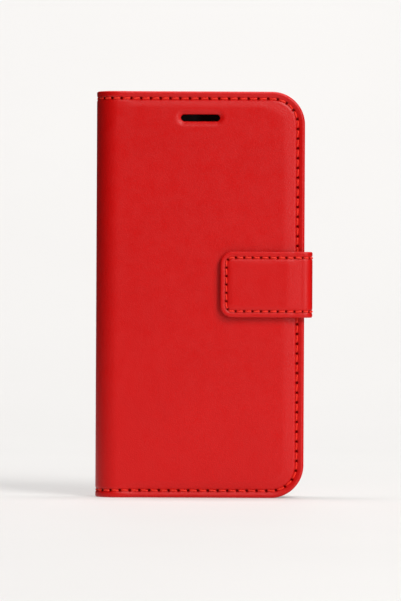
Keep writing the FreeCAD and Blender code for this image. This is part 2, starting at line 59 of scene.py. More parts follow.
X_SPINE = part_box("spine_skin")[0].x / MM
Y_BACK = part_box("back_skin")[1].y / MM
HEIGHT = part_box("front_skin")[1].z / MM
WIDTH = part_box("front_skin")[1].x / MM - X_SPINE
DEPTH = Y_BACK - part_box("front_skin")[0].y / MM
STRAP_U0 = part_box("strap_tab_skin")[0].x / MM - X_SPINE
STRAP_U1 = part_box("strap_side_skin")[1].x / MM - X_SPINE
STRAP_F0 = Y_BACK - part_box("strap_anchor")[1].y / MM
STRAP_F1 = Y_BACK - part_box("strap_tab_skin")[0].y / MM
STRAP_Z0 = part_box("strap_tab_skin")[0].z / MM
STRAP_Z1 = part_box("strap_tab_skin")[1].z / MM

# ------------------------------------------------------------------ the leather's own sizes, in mm

CORNER_R = 12.2
SPINE_R = 8.0
SKIN, SKIN_RIM = 0.8, 1.2
PANEL, PANEL_RIM, PANEL_FOLD = 2.6, 1.7, 1.3
LINING_BACK = 0.4
LAYER_GAP = 0.02
SEAM = 2.65
STITCHES = 82
STRAP_R = 4.5
STRAP_SEAM = 2.25
STRAP_STITCHES = 32
STRAP_FRONT_R, STRAP_BACK_R = 4.0, 2.4
STRAP_THICK, STRAP_THIN, STRAP_SKIN = 2.3, 1.4, 0.8
STEPS_PER_STITCH = 12
SLOT_W, SLOT_H = 14.4, 2.6
SLOT_U, SLOT_Z = 38.4, 140.2
CAMERA_W, CAMERA_H = 11.9, 23.9
CAMERA_U, CAMERA_Z = 62.5, 128.5


def smooth(t):
    t = np.clip(t, 0.0, 1.0)
    return t * t * (3 - 2 * t)


def to_world(u, f, z):
    """Metres in the shared frame from working millimetres.

    u runs right from the spine's outer line, f forward from the back face, and z up from the foot.
    """
    u, f, z = np.broadcast_arrays(u, f, z)
    return np.stack([(X_SPINE + u) * MM, (Y_BACK - f) * MM, z * MM], axis=-1)


# ------------------------------------------------------------------ unrolled paths

class Path:
    """Straight runs and arcs in the (u, f) plane that a sheet of leather follows.

    side is 1 where it turns left and -1 where it turns right, so that its normal points out of the object.
    """

    def __init__(self, start, heading, runs, side=1):
        self.runs, self.side = [], side
        pos, ang, s = np.array(start, float), math.radians(heading), 0.0
        for length, turn in runs:
            self.runs.append((s, length, math.radians(turn), pos.copy(), ang))
            if turn:
                r = length / math.radians(turn)
                centre = pos + np.array([-math.sin(ang), math.cos(ang)]) * r
                ang += math.radians(turn)
                pos = centre + np.array([math.sin(ang), -math.cos(ang)]) * r
            else:
                pos = pos + np.array([math.cos(ang), math.sin(ang)]) * length
            s += length
        self.length = s

    def at(self, s):
        """(u, f) on the path and the unit normal that points out of the object, for each s."""
        s = np.asarray(s, float)
        out, normal = np.zeros(s.shape + (2,)), np.zeros(s.shape + (2,))
        for k, (s0, length, turn, pos, ang) in enumerate(self.runs):
            mine = (s >= s0) if k else np.ones(s.shape, bool)
            if k < len(self.runs) - 1:
                mine &= s < s0 + length
            t = s[mine] - s0
            if turn:
                r = length / turn
                a = ang + t / r
                centre = pos + np.array([-math.sin(ang), math.cos(ang)]) * r
                out[mine] = centre + np.stack([np.sin(a), -np.cos(a)], -1) * r
            else:
                a = np.full(t.shape, ang)
                out[mine] = pos + np.stack([np.cos(a), np.sin(a)], -1) * t[:, None]
            normal[mine] = np.stack([np.sin(a), -np.cos(a)], -1) * self.side
        return out, normal

    def point(self, s, z, w):
        """World points at s along the path and z up, w below the outer face."""
        p, n = self.at(s)
        p = p - n * np.asarray(w, float)[..., None]
        return to_world(p[..., 0], p[..., 1], z)


HALF_SPINE = DEPTH / 2 - SPINE_R
FOLD_END = HALF_SPINE + QUARTER * SPINE_R
COVER_S = FOLD_END + WIDTH - SPINE_R
BACK_PATH = Path((0, DEPTH / 2), -90,
                 [(HALF_SPINE, 0), (QUARTER * SPINE_R, 90), (WIDTH - SPINE_R, 0)])
FRONT_PATH = Path((0, DEPTH / 2), 90,
                  [(HALF_SPINE, 0), (QUARTER * SPINE_R, -90), (WIDTH - SPINE_R, 0)], side=-1)

SIDE_F0, SIDE_F1 = STRAP_F0 + STRAP_BACK_R, STRAP_F1 - STRAP_FRONT_R
HALF_SIDE = (SIDE_F1 - SIDE_F0) / 2
TAB_FOLD_END = HALF_SIDE + QUARTER * STRAP_FRONT_R
TAB_PATH = Path((STRAP_U1, SIDE_F0 + HALF_SIDE), 90,
                [(HALF_SIDE, 0), (QUARTER * STRAP_FRONT_R, 90), (STRAP_U1 - STRAP_FRONT_R - STRAP_U0, 0)])
ROOT_LENGTH = 4.6
ROOT_FOLD_END = HALF_SIDE + QUARTER * STRAP_BACK_R
ROOT_PATH = Path((STRAP_U1, SIDE_F0 + HALF_SIDE), -90,
                 [(HALF_SIDE, 0), (QUARTER * STRAP_BACK_R, -90), (ROOT_LENGTH, 0)], side=-1)
STRAP_HIGH = STRAP_Z1 - STRAP_Z0


# ------------------------------------------------------------------ the nets of the sheets

class Net:
    """A quad net over a sheet that is square at s = 0 and has two round corners at its far end.

    Rings run parallel to the outline. fine lists their insets near the edge. inner goes on from there with
    pairs: an inset, and how many columns merge into one at it. Columns stay upright up to s = fixed, across
    the fold. The middle line ends far_inset from the far end. low lifts the whole sheet.
    """

    def __init__(self, length, high, radius, seam, stitches, fixed, fine, inner, far_inset,
                 low=0.0, steps=STEPS_PER_STITCH):
        self.length, self.high, self.radius, self.low = length, high, radius, low
        self.seam, self.fixed, self.fine_end = seam, fixed, fine[-1]
        self.leg = length - radius
        self.corner = QUARTER * (radius - seam)
        self.end = high - 2 * radius
        self.total = 2 * (self.leg + self.corner) + self.end
        self.pitch = self.total / stitches
        self.stitches, self.count = stitches, stitches * steps
        self.far_inset = far_inset
        self.s, self.z, self.d, self.run = [], [], [], []
        self.rings, self.faces = [], []
        every = 1
        plan = [(d, 1) for d in fine] + list(inner)
        for k, (d, keep) in enumerate(plan):
            every *= keep
            self._ring(d, every, last=k == len(plan) - 1)
            if k:
                self._stitch_rings(keep)
        self._boundary()

    def _place(self, a, dz):
        """s and z on the ring that lies dz in, for each distance a along the seam."""
        half = self.high / 2
        if dz <= self.fine_end:
            ds = dz
        else:
            ds = self.fine_end + ((dz - self.fine_end) * (self.far_inset - self.fine_end)
                                  / (half - self.fine_end))
        rho = max(self.radius - dz, min(self.radius / 3, half - dz))
        sc = self.length - ds - rho
        mirrored = a > self.total / 2
        b = np.where(mirrored, self.total - a, a)
        s, z = np.zeros_like(b), np.zeros_like(b)
        leg = b <= self.leg
        stretch = (sc - self.fixed) / (self.leg - self.fixed)
        s[leg] = np.where(b[leg] <= self.fixed, b[leg], self.fixed + (b[leg] - self.fixed) * stretch)
        z[leg] = self.high - dz
        bend = (b > self.leg) & (b <= self.leg + self.corner)
        turn = (b[bend] - self.leg) / self.corner * QUARTER
        s[bend] = sc + rho * np.sin(turn)
        z[bend] = self.high - dz - rho + rho * np.cos(turn)
        wall = b > self.leg + self.corner
        part = (b[wall] - self.leg - self.corner) / self.end
        s[wall] = self.length - ds
        z[wall] = self.high - dz - rho - part * (self.high - 2 * dz - 2 * rho)
        z = np.where(mirrored, self.high - z, z)
        return s, z + self.low

    def _ring(self, dz, every, last):
        """Adds the ring that lies dz in. The last closes to a line whose two legs share their points."""
        index = np.arange(0, self.count + 1, every)
        a = index * self.total / self.count
        s, z = self._place(a, dz)
        if not last:
            ids = len(self.s) + np.arange(len(index))
        else:
            n = len(index)
            ids = np.zeros(n, int)
            kept = [i for i in range(n // 2 + 1) if a[i] < self.leg]
            tip = len(kept)
            for i in range(n):
                j = min(i, n - 1 - i)
                ids[i] = len(self.s) + (j if j < tip else tip)
            s, z, a = s[:tip + 1], z[:tip + 1], a[:tip + 1]
        self.s += list(s)
        self.z += list(z)
        self.d += [dz] * len(s)
        self.run += list(a)
        self.rings.append(ids)

    def _stitch_rings(self, keep):
        """Faces between the last two rings, where keep columns of the outer one meet one of the inner."""
        outer, inner = self.rings[-2], self.rings[-1]
        for i in range(len(inner) - 1):
            loop = list(outer[i * keep:(i + 1) * keep + 1]) + [inner[i + 1], inner[i]]
            loop = [v for k, v in enumerate(loop) if v != loop[k - 1]]
            if len(loop) > 2:
                self.faces.append(loop)

    def _boundary(self):
        """The net's edge: out along the first ring, and back along the square end."""
        edge = list(self.rings[0])
        up = [ring[-1] for ring in self.rings[1:]]
        down = [ring[0] for ring in self.rings[1:-1]][::-1]
        self.loops = [edge + up + down]

    def cut_slot(self, s_mid, z_mid, wide, high, margin, rows=14, ease=1.7):
        """Opens a slot with round ends in the top leg, and re-nets the block round it."""
        s, z = np.array(self.s), np.array(self.z)
        outer = self.rings[0]
        reach_s, reach_z = wide / 2 + margin, high / 2 + margin
        columns = [i for i in range(self.count // 2) if abs(s[outer[i]] - s_mid) <= reach_s]
        i0, i1 = columns[0], columns[-1]
        flat = [k for k, ring in enumerate(self.rings)
                if len(ring) == len(outer) and abs(z[ring[i0]] - z_mid) <= reach_z]
        k0, k1 = flat[0], flat[-1]
        inside = set()
        for k in range(k0, k1 + 1):
            inside |= set(int(v) for v in self.rings[k][i0:i1 + 1])
        self.faces = [f for f in self.faces if not all(int(v) in inside for v in f)]
        loop = list(self.rings[k0][i0:i1 + 1])
        loop += [self.rings[k][i1] for k in range(k0 + 1, k1 + 1)]
        loop += list(self.rings[k1][i0:i1][::-1])
        loop += [self.rings[k][i0] for k in range(k1 - 1, k0, -1)]
        axis = (wide - high) / 2
        ps, pz = s[loop], z[loop]
        cs = np.clip(ps, s_mid - axis, s_mid + axis)
        away = np.stack([ps - cs, pz - z_mid], -1)
        away /= np.linalg.norm(away, axis=1)[:, None]
        es, ez = cs + away[:, 0] * high / 2, z_mid + away[:, 1] * high / 2
        before = loop
        for row in range(1, rows + 1):
            part = (1 - row / rows) ** ease
            ids = list(range(len(self.s), len(self.s) + len(loop)))
            self.s += list(es + (ps - es) * part)
            zz = ez + (pz - ez) * part
            self.z += list(zz)
            self.d += list(self.high + self.low - zz)
            self.run += [self.run[v] for v in loop]
            for i in range(len(loop)):
                j = (i + 1) % len(loop)
                self.faces.append([before[i], before[j], ids[j], ids[i]])
            before = ids
        self.loops.append(before)

    def solid(self, name, path, top, bottom, attribute=None):
        """A closed mesh between two depths below the path.

        Each depth is a function of (s, z, d, run): the place on the sheet, the inset from its edge and the
        distance along its seam. All of them take the four, and use what they need.
        """
        s, z, d, run = (np.array(x, float) for x in (self.s, self.z, self.d, self.run))
        wt, wb = top(s, z, d, run), bottom(s, z, d, run)
        used = np.zeros(len(s), bool)
        for f in self.faces:
            used[f] = True
        new = np.cumsum(used) - 1
        n = int(used.sum())
        points = np.concatenate([path.point(s, z, wt)[used], path.point(s, z, wb)[used]])
        faces = [[int(new[v]) for v in f] for f in self.faces]
        faces += [[v + n for v in reversed(f)] for f in faces]
        for loop in self.loops:
            ring = [int(new[v]) for v in loop]
            for i, v in enumerate(ring):
                nxt = ring[(i + 1) % len(ring)]
                if v != nxt:
                    faces.append([nxt, v, v + n, nxt + n])
        obj = mesh_object(name, points, faces)
        if attribute:
            label, value = attribute
            both = np.concatenate([value(s, z, d, run)[used], np.zeros(n)]).astype(np.float32)
            obj.data.attributes.new(label, "FLOAT", "POINT").data.foreach_set("value", both)
        return obj


def shade(mesh, sharp):
    """Smooth shading, with a hard line wherever two faces meet at more than sharp degrees."""
    bm = bmesh.new()
    bm.from_mesh(mesh)
    limit = math.radians(sharp)
    for edge in bm.edges:
        edge.smooth = len(edge.link_faces) == 2 and edge.calc_face_angle(0.0) < limit
    for face in bm.faces:
        face.smooth = True
    bm.to_mesh(mesh)
    bm.free()


def mesh_object(name, points, faces, sharp=40.0):
    """A smooth-shaded object from points and faces, with normals that face outwards."""
    mesh = bpy.data.meshes.new(name)
    mesh.from_pydata([tuple(p) for p in points], [], faces)
    mesh.validate()
    bm = bmesh.new()
    bm.from_mesh(mesh)
    bmesh.ops.recalc_face_normals(bm, faces=bm.faces)
    bm.to_mesh(mesh)
    bm.free()
    shade(mesh, sharp)
    obj = bpy.data.objects.new(name, mesh)
    bpy.context.scene.collection.objects.link(obj)
    return obj


# ------------------------------------------------------------------ the leather's relief

def edge_round(d, r):
    """How far a rounded edge falls below the face, d in from the edge."""
    t = np.clip(r - d, 0, r)
    return r - np.sqrt(np.maximum(r * r - t * t, 0))


def pits(run, d, seam, pitch, deep, wide):
    """The needle holes between the stitches, as a dent in the leather."""
    along = (run / pitch - np.round(run / pitch)) * pitch
    return deep * np.exp(-(along / wide) ** 2 - ((d - seam) / wide) ** 2)


def stadium(u, z, mid_u, mid_z, wide, high):
    """Distance outside a slot with round ends."""
    axis_u = np.maximum(np.abs(u - mid_u) - max(wide - high, 0) / 2, 0)
    axis_z = np.maximum(np.abs(z - mid_z) - max(high - wide, 0) / 2, 0)
    return np.hypot(axis_u, axis_z) - min(wide, high) / 2


def flat_u(s):
    """u on a cover's flat, for a place s along its path."""
    return s - COVER_S + WIDTH


RIM_DROP, RIM_ROUND = 0.56, 0.60
PAD_START, PAD_END, PAD_END_RIGHT = 2.0, 6.2, 8.4
GROOVE, GROOVE_WIDE = 0.40, 0.64
BEAD, BEAD_AT, BEAD_WIDE = 0.20, 0.90, 0.55
THINNEST = 0.14
HOLE_DEEP, HOLE_WIDE = 0.5, 0.36
# how strong and how wide the painted shade round the needle holes is
SHADE_MARK, SHADE_MARK_WIDE = 1.9, 0.46
FLAT_EASE = 7.0
PAD_WIDENS_AT, PAD_WIDENS_OVER = 58.0, 12.0
SKIN_RIM_END, SKIN_RIM_STEP = 3.0, 1.0
DIP, DIP_WIDE, DIP_STEEP = 0.66, 3.0, 2.8
LIP_R = 0.42
TURNED_IN = 1.18


def on_flat(s):
    """0 on the fold and 1 on the stiffened flat."""
    return smooth((s - FOLD_END) / FLAT_EASE)


def cover_face(s, d):
    """Depth of a cover's outer face: the pad's swell, the seam's groove, the bead outside it and the rim."""
    wider = smooth((flat_u(s) - PAD_WIDENS_AT) / PAD_WIDENS_OVER)
    end = PAD_END + (PAD_END_RIGHT - PAD_END) * wider
    pad = RIM_DROP * on_flat(s) * (1 - smooth((d - PAD_START) / (end - PAD_START)))
    groove = GROOVE * np.exp(-((d - SEAM) / GROOVE_WIDE) ** 2)
    bead = BEAD * on_flat(s) * np.exp(-((d - BEAD_AT) / BEAD_WIDE) ** 2)
    return pad + groove - bead + edge_round(d, RIM_ROUND)


def front_face(s, z, d, run):
    """As back_face, with the dip round the earpiece slot and its rolled lip."""
    w = back_face(s, z, d, run)
    away = np.maximum(stadium(flat_u(s), z, SLOT_U, SLOT_Z, SLOT_W, SLOT_H), 0)
    return w + DIP * (1 - smooth(away / DIP_WIDE)) ** DIP_STEEP + edge_round(away, LIP_R)


def back_face(s, z, d, run):
    """A cover's outer face with its needle holes, which never reach the underside."""
    w = cover_face(s, d)
    pitted = w + pits(run, d, SEAM, COVER_PITCH, HOLE_DEEP, HOLE_WIDE)
    return np.maximum(w, np.minimum(pitted, skin_under(s, z, d, run) - THINNEST))


def skin_under(s, z, d, run):
    """The leather's underside, which is deeper along the sewn rim."""
    rim = on_flat(s) * (1 - smooth((d - SKIN_RIM_END) / SKIN_RIM_STEP))
    return SKIN + (SKIN_RIM - SKIN) * np.maximum(rim, edge_round(d, RIM_ROUND) * on_flat(s))


def front_under(s, z, d, run):
    """As skin_under, but the leather round the slot is turned in and thicker."""
    away = np.maximum(stadium(flat_u(s), z, SLOT_U, SLOT_Z, SLOT_W, SLOT_H), 0)
    far = smooth(away / DIP_WIDE)
    return np.maximum(skin_under(s, z, d, run), TURNED_IN * (1 - far) + SKIN * far)


def hole_painted_shade(s, z, d, run):
    """Painted shade for the leather's colour: 1 in the needle holes and 0 away from them."""
    return np.minimum(1, pits(run, d, SEAM, COVER_PITCH, SHADE_MARK, SHADE_MARK_WIDE))


def insets(round_r, groove_end, end, step=0.19, growth=1.13, edge_steps=8, widest=0.9):
    """Ring insets: even in angle round the edge, even across the groove, then wider and wider."""
    made = [round_r * (1 - math.cos(k * QUARTER / edge_steps)) for k in range(edge_steps + 1)]
    while made[-1] < groove_end:
        made.append(made[-1] + step)
    while made[-1] < end:
        step *= growth
        made.append(made[-1] + min(step, widest))
    return made


# ------------------------------------------------------------------ covers

COVER_FIXED = 20.0
COVER_FAR = 50.0
HALF_HIGH = HEIGHT / 2
cover_fine = insets(RIM_ROUND, groove_end=3.9, end=15.5)
cover_inner = [(18, 3)] + [(d, 1) for d in (21, 25, 30, 36, 43, 50, 58, 66, HALF_HIGH)]


def cover_net():
    return Net(COVER_S, HEIGHT, CORNER_R, SEAM, STITCHES, COVER_FIXED, cover_fine, cover_inner, COVER_FAR)


LINING_STEPS = 8
BOARD_EDGE, BOARD_STEP = 3.3, 1.0
BOARD_SPINE_EDGE, BOARD_SPINE_STEP = 8.3, 1.1
LINING_GROOVE, LINING_GROOVE_WIDE, LINING_ROUND = 0.14, 0.6, 0.3
lining_fine = insets(0.4, groove_end=4.6, end=15.0, step=0.4, growth=1.2, edge_steps=4)
lining_inner = [(d, 1) for d in (18, 24, 32, 45, 60, HALF_HIGH - LINING_BACK)]


def lining_net():
    return Net(COVER_S - LINING_BACK, HEIGHT - 2 * LINING_BACK, CORNER_R - LINING_BACK, SEAM - LINING_BACK,
               STITCHES, COVER_FIXED, lining_fine, lining_inner, COVER_FAR,
               low=LINING_BACK, steps=LINING_STEPS)


def lining_top(under):
    """The side of a lining that lies on the leather whose underside is given."""
    def face(s, z, d, run):
        return under(s, z, d + LINING_BACK, run) + LAYER_GAP
    return face


def lining_face(s, z, d, run):
    """The lining's inner face: over the board, down to the sewn rim, and thin round the fold."""
    board = smooth((d + LINING_BACK - BOARD_EDGE) / BOARD_STEP)
    board = board * smooth((flat_u(s) - BOARD_SPINE_EDGE) / BOARD_SPINE_STEP)
    sewn = PANEL_FOLD + (PANEL_RIM - PANEL_FOLD) * on_flat(s)
    w = sewn + (PANEL - sewn) * board
    groove = LINING_GROOVE * np.exp(-((d + LINING_BACK - SEAM) / LINING_GROOVE_WIDE) ** 2)
    return w - groove - edge_round(d, LINING_ROUND)


front_net = cover_net()
COVER_PITCH = front_net.pitch
front_net.cut_slot(SLOT_U + COVER_S - WIDTH, SLOT_Z, SLOT_W, SLOT_H, margin=4.4)
front_leather = front_net.solid("front_leather", FRONT_PATH, front_face, front_under, ("hole_shade", hole_painted_shade))
back_net = cover_net()
back_leather = back_net.solid("back_leather", BACK_PATH, back_face, skin_under, ("hole_shade", hole_painted_shade))

front_lining_net = lining_net()
front_lining_net.cut_slot(SLOT_U + COVER_S - WIDTH, SLOT_Z, SLOT_W, SLOT_H, margin=3.2, rows=4)
front_inner = front_lining_net.solid("front_inner", FRONT_PATH, lining_top(front_under), lining_face)
back_lining_net = lining_net()
back_inner = back_lining_net.solid("back_inner", BACK_PATH, lining_top(skin_under), lining_face)


def cut_with(obj, cutter):
    """Takes the cutter's shape out of a mesh, and shades the new edges hard."""
    mod = obj.modifiers.new("cut", "BOOLEAN")
    mod.object, mod.operation, mod.solver = cutter, "DIFFERENCE", "EXACT"
    bpy.context.view_layer.update()
    dg = bpy.context.evaluated_depsgraph_get()
    mesh = bpy.data.meshes.new_from_object(obj.evaluated_get(dg))
    obj.modifiers.clear()
    obj.data = mesh
    shade(mesh, sharp=30.0)


def prism(mid_u, mid_z, wide, high, f0, f1, sides=64):
    """An upright or level pill-shaped prism, for cutting."""
    r = min(wide, high) / 2
    ring = []
    for k in range(sides):
        t = 2 * math.pi * (k + 0.5) / sides
        du = math.copysign(max(wide / 2 - r, 0), math.cos(t)) + r * math.cos(t)
        dz = math.copysign(max(high / 2 - r, 0), math.sin(t)) + r * math.sin(t)
        ring.append((mid_u + du, mid_z + dz))
    n = len(ring)
    points = [to_world(u, f, z) for f in (f0, f1) for u, z in ring]
    faces = [list(range(n)), list(range(2 * n - 1, n - 1, -1))]
    faces += [[i, (i + 1) % n, (i + 1) % n + n, i + n] for i in range(n)]
    return mesh_object("cutter", points, faces)


cutter = prism(CAMERA_U, CAMERA_Z, CAMERA_W, CAMERA_H, f0=-1.0, f1=4.0)
cut_with(back_leather, cutter)
cut_with(back_inner, cutter)
bpy.data.objects.remove(cutter)

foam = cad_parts["front_foam"]
front_padding = bpy.data.objects.new("front_padding", foam.data.copy())
front_padding.data.transform(foam.matrix_world)
bpy.context.scene.collection.objects.link(front_padding)
cutter = prism(SLOT_U, SLOT_Z, SLOT_W + 2 * DIP_WIDE, SLOT_H + 2 * DIP_WIDE, f0=DEPTH - 4.0, f1=DEPTH + 1.0)
cut_with(front_padding, cutter)
bpy.data.objects.remove(cutter)

# ------------------------------------------------------------------ strap

STRAP_INSET = 0.3
STRAP_ROUND = 0.62
STRAP_PAD, STRAP_PAD_IN, STRAP_PAD_AT, STRAP_PAD_WIDE = 0.30, 3.0, 1.7, 3.2
STRAP_GROOVE, STRAP_GROOVE_WIDE = 0.30, 0.62
# the first two shape a strap's needle holes; the last is the width of the painted shade round them
STRAP_HOLE_DEEP, STRAP_HOLE_WIDE, STRAP_SHADE_MARK_WIDE = 0.36, 0.33, 0.42
TAB_RIM, TAB_RIM_IN, TAB_RIM_AT, TAB_RIM_STEP = 0.3, 2.0, 2.8, 0.9
TAB_BOARD_AT, TAB_BOARD_STEP = 2.9, 1.0
TAB_BOARD_FROM, TAB_BOARD_IN = 1.2, 1.6
TAB_LINING_ROUND, ROOT_LINING_ROUND = 0.28, 0.22
ROOT_R, ROOT_STITCHES, ROOT_SEWN = 3.0, 14, 3
ROOT_PRESSED, ROOT_PRESSED_IN = 0.42, 0.9
CROWN, CROWN_FLAT, CROWN_ROUND, CROWN_EASE = 0.55, 5.6, 5.0, 1.25
STRAP_FILL = 0.6
BEYOND = 99.0   # farther along than any strap leather reaches
TAB_FIXED, ROOT_FIXED = TAB_FOLD_END + 1.5, 0.3

strap_fine = insets(STRAP_ROUND, groove_end=3.4, end=5.6)
tab_net = Net(TAB_PATH.length, STRAP_HIGH, STRAP_R, STRAP_SEAM, STRAP_STITCHES, TAB_FIXED, strap_fine,
              [(6.6, 2), (8.2, 1), (10.0, 1), (STRAP_HIGH / 2, 1)], STRAP_HIGH / 2, low=STRAP_Z0)
root_net = Net(ROOT_PATH.length, STRAP_HIGH, ROOT_R, STRAP_SEAM, ROOT_STITCHES, ROOT_FIXED, strap_fine,
               [(6.6, 2), (8.5, 1), (STRAP_HIGH / 2, 1)], STRAP_HIGH / 2, low=STRAP_Z0)


def crown(s, fold_end):
    """The strap's front leaves the flat early, and rolls into the fold in a wider round than the core's."""
    before = smooth((s - fold_end + CROWN_ROUND) / CROWN_ROUND)
    after = np.clip((s - fold_end) / CROWN_FLAT, 0, 1)
    return CROWN * before * (1 - after) ** CROWN_EASE


def strap_face(fold_end, pitch, sewn_to, under):
    """The outer face of a strap leather: padded past fold_end, with needle holes as far as sewn_to."""
    def face(s, z, d, run):
        swell = 1 - smooth((d - STRAP_PAD_AT) / STRAP_PAD_WIDE)
        pad = STRAP_PAD * smooth((s - fold_end) / STRAP_PAD_IN) * swell
        groove = STRAP_GROOVE * np.exp(-((d - STRAP_SEAM) / STRAP_GROOVE_WIDE) ** 2)
        holes = pits(run, d, STRAP_SEAM, pitch, STRAP_HOLE_DEEP, STRAP_HOLE_WIDE) * (s < sewn_to)
        w = np.minimum(pad + groove + holes + crown(s, fold_end), STRAP_SKIN - THINNEST)
        return np.minimum(w + edge_round(d, STRAP_ROUND), under(s, z, d, run) - THINNEST / 2)
    return face


def strap_hole_painted_shade(pitch, sewn_to):
    """Painted shade for a strap leather's colour in its needle holes, as for the covers."""
    def hole_shade_mark(s, z, d, run):
        return np.minimum(1, pits(run, d, STRAP_SEAM, pitch, SHADE_MARK, STRAP_SHADE_MARK_WIDE)) * (s < sewn_to)
    return hole_shade_mark


def tab_under(s, z, d, run):
    """The tab leather's underside, deeper along its sewn rim."""
    rim = TAB_RIM * smooth((s - TAB_FOLD_END) / TAB_RIM_IN) * (1 - smooth((d - TAB_RIM_AT) / TAB_RIM_STEP))
    return STRAP_SKIN + rim


def root_under(s, z, d, run):
    return np.full(s.shape, STRAP_SKIN)


tab_face = strap_face(TAB_FOLD_END, tab_net.pitch, BEYOND, tab_under)
root_face = strap_face(BEYOND, root_net.pitch, ROOT_FOLD_END, root_under)
tab_leather = tab_net.solid("tab_leather", TAB_PATH, tab_face, tab_under,
                            ("hole_shade", strap_hole_painted_shade(tab_net.pitch, BEYOND)))
root_leather = root_net.solid("strap_leather", ROOT_PATH, root_face, root_under,
                              ("hole_shade", strap_hole_painted_shade(root_net.pitch, ROOT_FOLD_END)))


def strap_lining_net(path, radius, stitches, fixed):
    middle = STRAP_HIGH / 2 - STRAP_INSET
    fine = insets(0.3, groove_end=3.6, end=5.6, step=0.35, growth=1.2, edge_steps=4)
    inner = [(7.0, 1), (9.5, 1), (middle, 1)]
    return Net(path.length - STRAP_INSET, 2 * middle, radius - STRAP_INSET, STRAP_SEAM - STRAP_INSET,
               stitches, fixed, fine, inner, middle, low=STRAP_Z0 + STRAP_INSET, steps=4)


def tab_lining_top(s, z, d, run):
    return tab_under(s, z, d + STRAP_INSET, run) + LAYER_GAP


def tab_lining_face(s, z, d, run):
    """The tab's inner face: over its board, down to a filled rim, and thin round the fold."""
    board = smooth((d + STRAP_INSET - TAB_BOARD_AT) / TAB_BOARD_STEP)
    board = board * smooth((s - TAB_FOLD_END - TAB_BOARD_FROM) / TAB_BOARD_IN)
    rim = STRAP_FILL * smooth((s - TAB_FOLD_END) / TAB_RIM_IN)
    core = (STRAP_THICK - STRAP_THIN - STRAP_FILL) * board
    return STRAP_THIN + rim + core - edge_round(d, TAB_LINING_ROUND)


def root_lining_top(s, z, d, run):
    return np.full(s.shape, STRAP_SKIN + LAYER_GAP)


def root_lining_face(s, z, d, run):
    """The strap's inner face, pressed thinner along its sewn root."""
    inside = smooth((s - ROOT_FOLD_END) / ROOT_PRESSED_IN)
    return STRAP_THIN - ROOT_PRESSED * inside - edge_round(d, ROOT_LINING_ROUND)


tab_lining_net = strap_lining_net(TAB_PATH, STRAP_R, STRAP_STITCHES, TAB_FIXED)
tab_inner = tab_lining_net.solid("tab_inner", TAB_PATH, tab_lining_top, tab_lining_face)
root_lining_net = strap_lining_net(ROOT_PATH, ROOT_R, ROOT_STITCHES, ROOT_FIXED)
root_inner = root_lining_net.solid("strap_inner", ROOT_PATH, root_lining_top, root_lining_face)


# ------------------------------------------------------------------ thread

THREAD_R, INSIDE_R, POCKET_THREAD_R = 0.32, 0.28, 0.17
SLANT = 0.11
STITCH_SHARE = 0.74                      # of the pitch, the rest being the gap between needle holes
WANDER, SWAY = 0.012, 0.05               # unevenness along the seam, of the pitch, and across it, in mm
PROUD, DIVE, DIVE_EASE = 0.62, 2.3, 5    # how far a stitch stands out and goes in, of its radius
SUNK_SHARE = 0.4                         # of a stitch's lift, where it lies lowest
PLY_TURN, PLY_LOW, PLY_SWELL = 3.4, 0.88, 0.16   # mm for one turn of the plies, and their swell
END_THIN, END_EASE = 0.3, 4


def on_wall(net, a, step=0.1):
    """1 for stitches that run up or down, 0 for those that run across."""
    s0, z0 = net._place(np.asarray(a) - step, net.seam)
    s1, z1 = net._place(np.asarray(a) + step, net.seam)
    return np.abs(z1 - z0) / np.maximum(np.hypot(s1 - s0, z1 - z0), 1e-6)


def thread(name, net, path, face, radius, seed, keep=lambda k: True, rise=1.0, side=1, sunk=0.01):
    """One mesh of two-ply stitches that dive into the leather at each needle hole.

    side is -1 for a seam seen from inside. Stitches lie lower up to s = sunk, where the spine folds.
    """
    rng = random.Random(seed)
    along, around = 14, 12
    points, faces = [], []
    for k in range(net.stitches):
        if not keep(k):
            continue
        x = np.linspace(-1, 1, along + 1)
        a = (k + 0.5 + x * STITCH_SHARE / 2 + rng.uniform(-WANDER, WANDER)) * net.pitch
        s, z = net._place(a, net.seam + rng.uniform(-SWAY, SWAY))
        _, z2 = net._place(a, net.seam)
        z = (z + z2) / 2
        s = s - x * SLANT * on_wall(net, a)
        z = z + x * SLANT * (1 - on_wall(net, a))
        w = face(s, z, np.full(s.shape, net.seam), np.full(s.shape, net.pitch / 2))
        stand = SUNK_SHARE + (1 - SUNK_SHARE) * smooth(s / sunk)
        lift = radius * (PROUD * rise * stand - DIVE * np.abs(x) ** DIVE_EASE)
        centre = path.point(s, z, w - side * lift)
        _, n2 = path.at(s)
        normal = np.stack([n2[:, 0], -n2[:, 1], np.zeros(len(s))], -1) * side
        tangent = np.gradient(centre, axis=0)
        tangent /= np.linalg.norm(tangent, axis=1)[:, None]
        across = np.cross(tangent, normal)
        across /= np.linalg.norm(across, axis=1)[:, None]
        up = np.cross(across, tangent)
        phi = np.linspace(0, 2 * math.pi, around, endpoint=False)
        ply = rng.uniform(0, math.pi)
        base = len(points)
        for j in range(along + 1):
            turn = x[j] * STITCH_SHARE * net.pitch / 2 * 2 * math.pi / PLY_TURN + ply
            swell = PLY_LOW + PLY_SWELL * np.abs(np.cos(phi - turn))
            r = radius * MM * swell * (1 - END_THIN * abs(x[j]) ** END_EASE)
            ring = centre[j] + np.outer(r * np.cos(phi), across[j]) + np.outer(r * np.sin(phi), up[j])
            points += [tuple(p) for p in ring]
        for j in range(along):
            for i in range(around):
                b, c = base + j * around, (i + 1) % around
                faces.append([b + i, b + c, b + around + c, b + around + i])
        faces.append([base + i for i in range(around)][::-1])
        faces.append([base + along * around + i for i in range(around)])
    return mesh_object(name, points, faces, sharp=60)


def cover_unpitted(s, z, d, run):
    """A cover's face without its needle holes, for the thread to lie on."""
    return cover_face(s, d)


